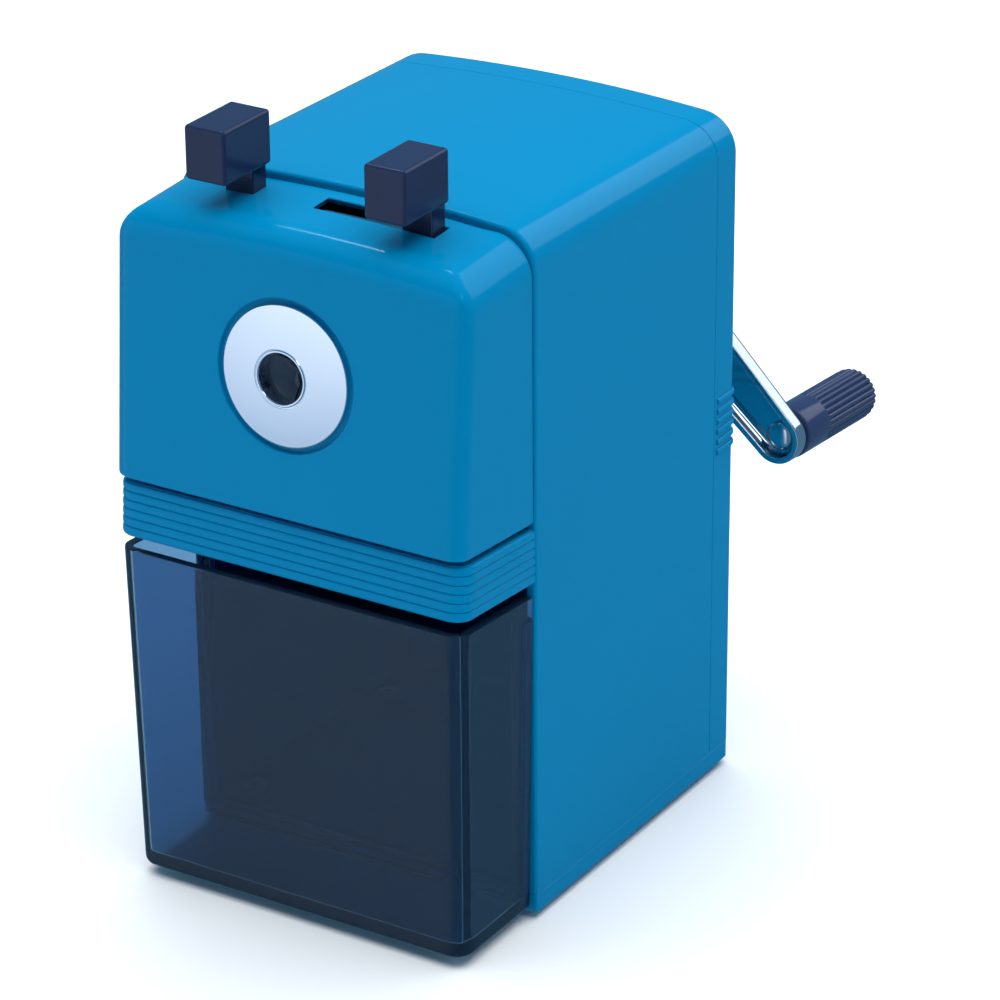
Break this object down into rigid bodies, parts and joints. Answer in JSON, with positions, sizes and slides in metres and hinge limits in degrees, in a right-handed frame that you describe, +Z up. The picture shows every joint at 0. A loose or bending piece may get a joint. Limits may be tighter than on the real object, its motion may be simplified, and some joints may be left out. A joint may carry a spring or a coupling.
{
  "type": "pencil sharpener",
  "caption": "Desk pencil sharpener with a hand crank: a spring-fed chuck head with finger blocks, a helical cutter and a smoky drawer for the shavings.",
  "frame": {"origin": "on the resting plane, under the middle of the base plate", "axes": "+X to the right as seen from the front, +Y from the front to the crank, +Z up"},
  "size_m": [0.0846, 0.1439, 0.1527],
  "materials": {
    "blue_shell": "satin gloss moulding, blue",
    "dark_blue": "satin moulding, navy",
    "smoke": "see-through, smoky navy",
    "grey_plastic": "moulded",
    "acetal": "smooth",
    "chrome": "polished",
    "steel": "zinc plated",
    "tool_steel": "ground",
    "brass": "turned",
    "rubber": "matt"
  },
  "bodies": {
    "housing": {"housing_shell": "blue_shell", "base_plate": "blue_shell", "rear_cover": "blue_shell", "front_band": "blue_shell", "bulkhead": "grey_plastic", "rod_bushes": "acetal", "gear_case": "grey_plastic", "ring_gear": "steel", "shaft_bush": "brass", "foot_pad": "rubber", "cover_screws": "steel", "base_screws": "steel", "feed_spring_left": "steel", "feed_spring_right": "steel"},
    "chuck_head": {"carriage_shell": "blue_shell", "escutcheon": "chrome", "jaw_guide": "grey_plastic", "chuck_plate": "grey_plastic", "finger_rest": "dark_blue", "guide_rods": "steel", "rod_clips": "steel", "chuck_screws": "steel"},
    "lever": {"chuck_lever": "grey_plastic", "lever_block": "dark_blue"},
    "cam": {"cam_ring": "steel"},
    "jaw_a": {"chuck_jaw_a": "dark_blue"},
    "jaw_b": {"chuck_jaw_b": "dark_blue"},
    "jaw_c": {"chuck_jaw_c": "dark_blue"},
    "crank": {"crank_shaft": "steel", "cutter_carrier": "steel", "cutter_axle": "steel", "crank_arm": "chrome", "crank_nut": "chrome", "handle_rivet": "steel"},
    "cutter": {"helical_cutter": "tool_steel", "cutter_pinion": "tool_steel", "cutter_sleeve": "brass"},
    "handle": {"handle": "dark_blue"},
    "drawer": {"drawer": "smoke"}
  },
  "joints": [
    {"name": "head_slide", "type": "slide", "parent": "housing", "child": "chuck_head", "axis": [0, -0.9972, 0.075], "range_m": [0, 0.028], "stiffness_N_per_m": 120, "springref_m": -0.02, "deforming": ["feed_spring_left", "feed_spring_right"]},
    {"name": "lever_slide", "type": "slide", "parent": "chuck_head", "child": "lever", "axis": [-1, 0, 0], "range_m": [0, 0.0175], "stiffness_N_per_m": 150, "springref_m": -0.004},
    {"name": "cam_turn", "type": "hinge", "parent": "chuck_head", "child": "cam", "pos_m": [0, -0.05964, 0.1109], "axis": [0, -0.9972, 0.075], "range_deg": [0, 51.9]},
    {"name": "jaw_a_slide", "type": "slide", "parent": "chuck_head", "child": "jaw_a", "axis": [0, 0.075, 0.9972], "range_m": [0, 0.0034]},
    {"name": "jaw_b_slide", "type": "slide", "parent": "chuck_head", "child": "jaw_b", "axis": [-0.866, -0.0375, -0.4986], "range_m": [0, 0.0034]},
    {"name": "jaw_c_slide", "type": "slide", "parent": "chuck_head", "child": "jaw_c", "axis": [0.866, -0.0375, -0.4986], "range_m": [0, 0.0034]},
    {"name": "crank_spin", "type": "hinge", "parent": "housing", "child": "crank", "pos_m": [0, -0.05964, 0.1109], "axis": [0, -0.9972, 0.075], "continuous": true},
    {"name": "cutter_spin", "type": "hinge", "parent": "crank", "child": "cutter", "pos_m": [0, 0.03978, 0.10342], "axis": [0, -0.9942, -0.108], "continuous": true},
    {"name": "handle_spin", "type": "hinge", "parent": "crank", "child": "handle", "pos_m": [0.04082, 0.04814, 0.06658], "axis": [0, -0.9972, 0.075], "continuous": true},
    {"name": "drawer_slide", "type": "slide", "parent": "housing", "child": "drawer", "axis": [0, -1, 0], "range_m": [0, 0.05]}
  ],
  "couplings": [
    {"joint": "cam_turn", "follows": "lever_slide", "rad_per_m": 51.75},
    {"joint": "jaw_a_slide", "follows": "lever_slide", "ratio": 0.1942},
    {"joint": "jaw_b_slide", "follows": "lever_slide", "ratio": 0.1942},
    {"joint": "jaw_c_slide", "follows": "lever_slide", "ratio": 0.1942},
    {"joint": "cutter_spin", "follows": "crank_spin", "ratio": -3}
  ]
}
